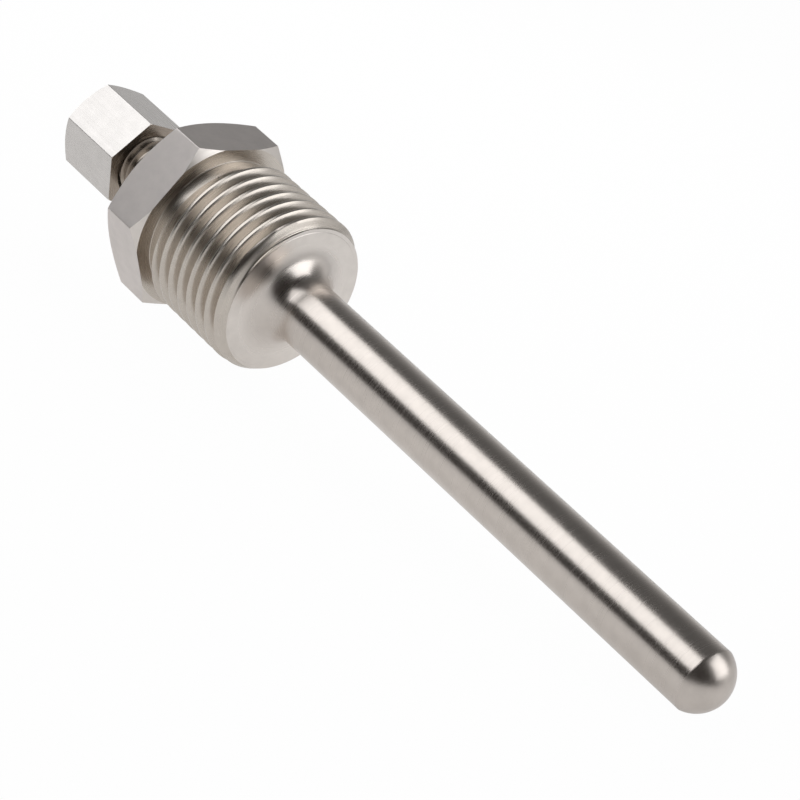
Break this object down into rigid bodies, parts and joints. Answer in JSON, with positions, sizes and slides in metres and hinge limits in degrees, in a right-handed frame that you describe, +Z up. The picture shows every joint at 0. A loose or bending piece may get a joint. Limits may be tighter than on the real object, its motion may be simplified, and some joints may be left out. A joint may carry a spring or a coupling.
{
  "type": "thermowell",
  "caption": "Straight screw-in thermowell: hexagon head, parallel pipe thread, slim closed stem with a domed tip, and a compression nut that clamps the probe.",
  "frame": {"origin": "middle of the part's footprint, on the surface that it lies on", "axes": "+X runs along the well from the nut to the tip, seen from above; +Z is up. The well's own axis dips towards the tip by 5.04 degrees, because the part lies on its thread and on its tip."},
  "size_m": [0.1142, 0.0248, 0.0229],
  "materials": {
    "well_steel": "turned and lightly blasted stainless steel",
    "nut_steel": "bright drawn stainless steel",
    "ferrule_steel": "turned stainless steel"
  },
  "bodies": {
    "well": {"well": "well_steel"},
    "ferrule": {"ferrule": "ferrule_steel"},
    "compression_nut": {"compression_nut": "nut_steel"}
  },
  "joints": [
    {"name": "nut_travel", "type": "slide", "parent": "well", "child": "ferrule", "axis": [-0.9961, 0, 0.0878], "range_m": [0, 0.004]},
    {"name": "nut_turn", "type": "hinge", "parent": "ferrule", "child": "compression_nut", "pos_m": [-0.05153, 0, 0.0133], "axis": [-0.9961, 0, 0.0878], "range_deg": [0, 1440]}
  ],
  "couplings": [
    {"joint": "nut_travel", "follows": "nut_turn", "m_per_rad": 0.00015915}
  ]
}
